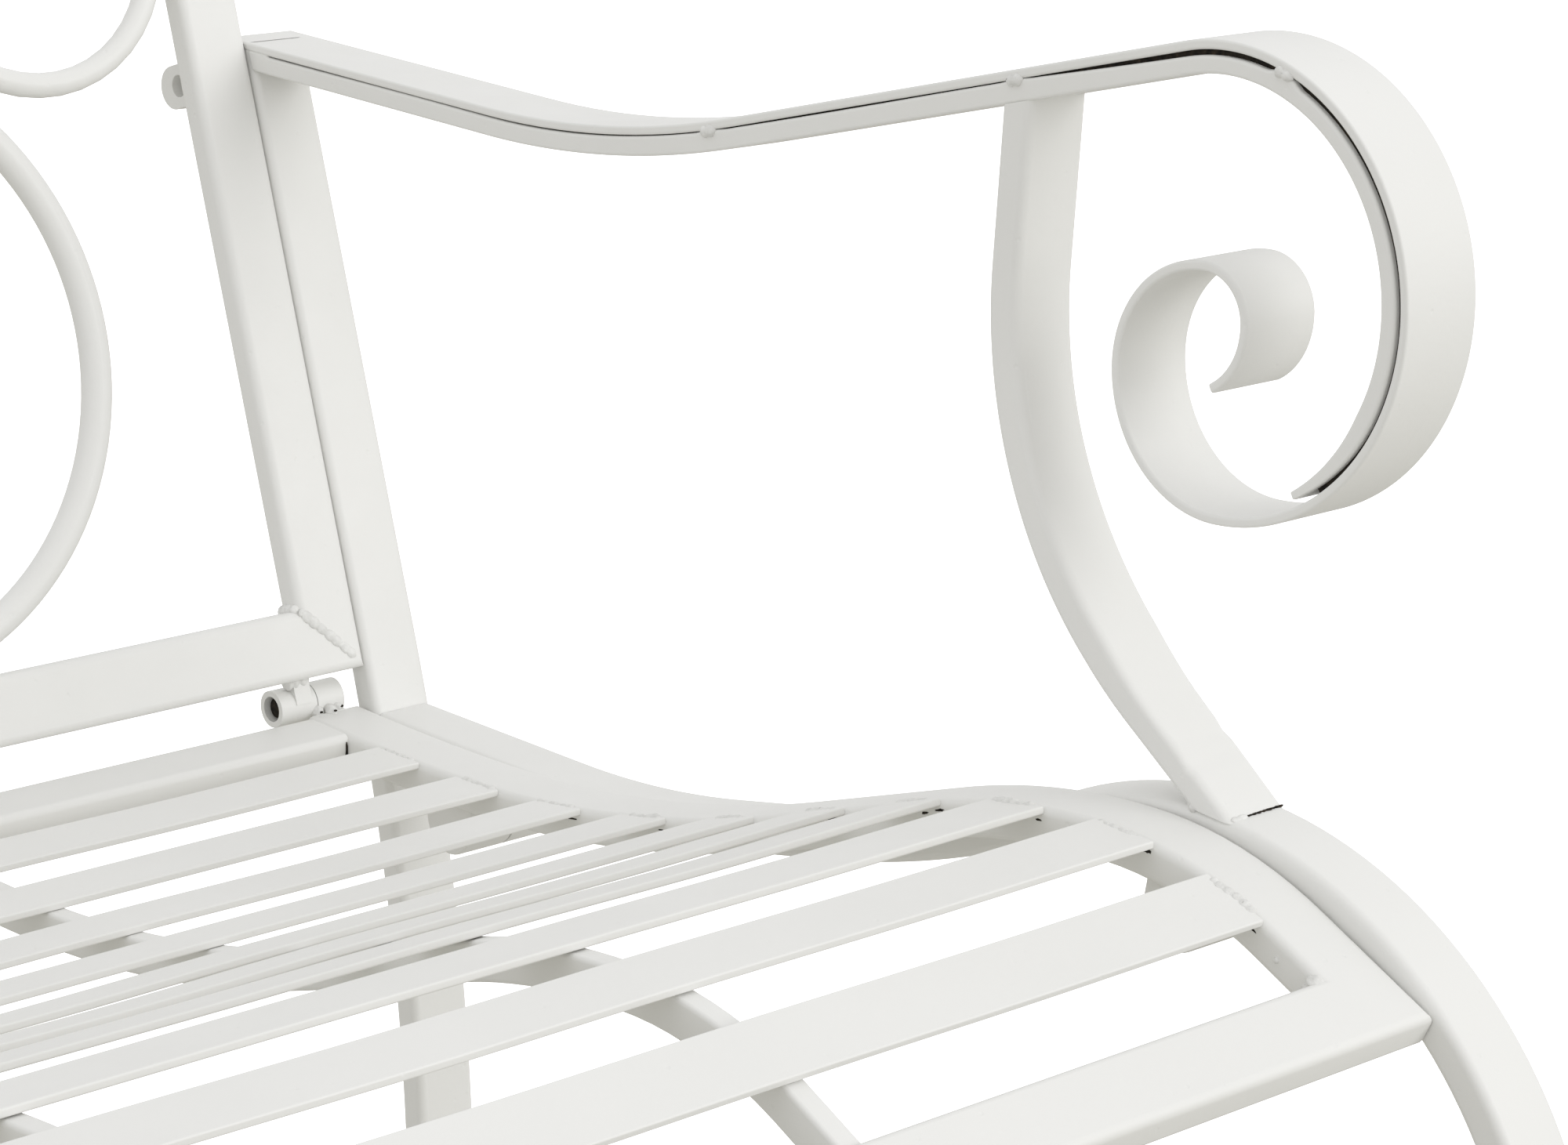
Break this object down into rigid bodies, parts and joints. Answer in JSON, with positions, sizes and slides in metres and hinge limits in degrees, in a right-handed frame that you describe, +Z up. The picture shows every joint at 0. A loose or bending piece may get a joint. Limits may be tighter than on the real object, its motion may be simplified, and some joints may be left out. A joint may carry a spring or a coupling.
{
  "type": "slatted iron daybed",
  "caption": "White iron daybed with an S-curved slatted seat, a low hinged back of wire rings and bolted side frames with scroll arms.",
  "frame": {"origin": "bottom centre of the bounding box, on the floor", "axes": "+Z up, the front faces -Y, +X runs along the daybed's length"},
  "size_m": [1.9008, 0.6595, 0.7576],
  "materials": {
    "white_powder_coat": "off-white satin powder coat with slight orange peel",
    "painted_bolts": "off-white satin paint over steel fasteners",
    "pin_steel": "plain steel",
    "foot_steel": "off-white satin powder coat"
  },
  "bodies": {
    "frame": {"rear_leg_right": "white_powder_coat", "rear_leg_left": "white_powder_coat", "front_leg_right": "white_powder_coat", "front_leg_left": "white_powder_coat", "arm_support_right": "white_powder_coat", "arm_support_left": "white_powder_coat", "arm_bar_right": "white_powder_coat", "arm_bar_left": "white_powder_coat", "arm_strap_right": "white_powder_coat", "arm_strap_left": "white_powder_coat", "frame_bosses": "white_powder_coat", "foot_pads": "foot_steel", "seat_bolts": "painted_bolts", "post_bolts": "painted_bolts", "seat_rail_right": "white_powder_coat", "seat_rail_left": "white_powder_coat", "seat_rear_rail": "white_powder_coat", "seat_front_rail": "white_powder_coat", "slat_1": "white_powder_coat", "slat_2": "white_powder_coat", "slat_3": "white_powder_coat", "slat_4": "white_powder_coat", "slat_5": "white_powder_coat", "slat_6": "white_powder_coat", "slat_7": "white_powder_coat", "slat_8": "white_powder_coat", "slat_9": "white_powder_coat", "slat_10": "white_powder_coat", "seat_support_1": "white_powder_coat", "seat_support_2": "white_powder_coat", "seat_support_3": "white_powder_coat", "seat_support_4": "white_powder_coat", "seat_support_5": "white_powder_coat", "seat_support_6": "white_powder_coat", "seat_support_7": "white_powder_coat", "seat_support_8": "white_powder_coat", "seat_support_9": "white_powder_coat", "seat_bosses": "white_powder_coat", "seat_barrel_right": "white_powder_coat", "seat_barrel_left": "white_powder_coat", "hinge_pins": "pin_steel"},
    "back": {"back_post_right": "white_powder_coat", "back_post_left": "white_powder_coat", "back_bottom_rail": "white_powder_coat", "back_top_rail": "white_powder_coat", "back_ring_1": "white_powder_coat", "back_ring_2": "white_powder_coat", "back_ring_3": "white_powder_coat", "back_ring_4": "white_powder_coat", "back_ring_5": "white_powder_coat", "back_ring_6": "white_powder_coat", "back_ring_7": "white_powder_coat", "back_small_rings": "white_powder_coat", "ring_collars": "white_powder_coat", "back_barrel_right": "white_powder_coat", "back_barrel_left": "white_powder_coat", "back_bosses": "white_powder_coat", "post_bolt_ends": "painted_bolts"}
  },
  "joints": [
    {"name": "back_fold", "type": "hinge", "parent": "frame", "child": "back", "pos_m": [0, 0.23, 0.3981], "axis": [1, 0, 0], "range_deg": [0, 53]}
  ]
}
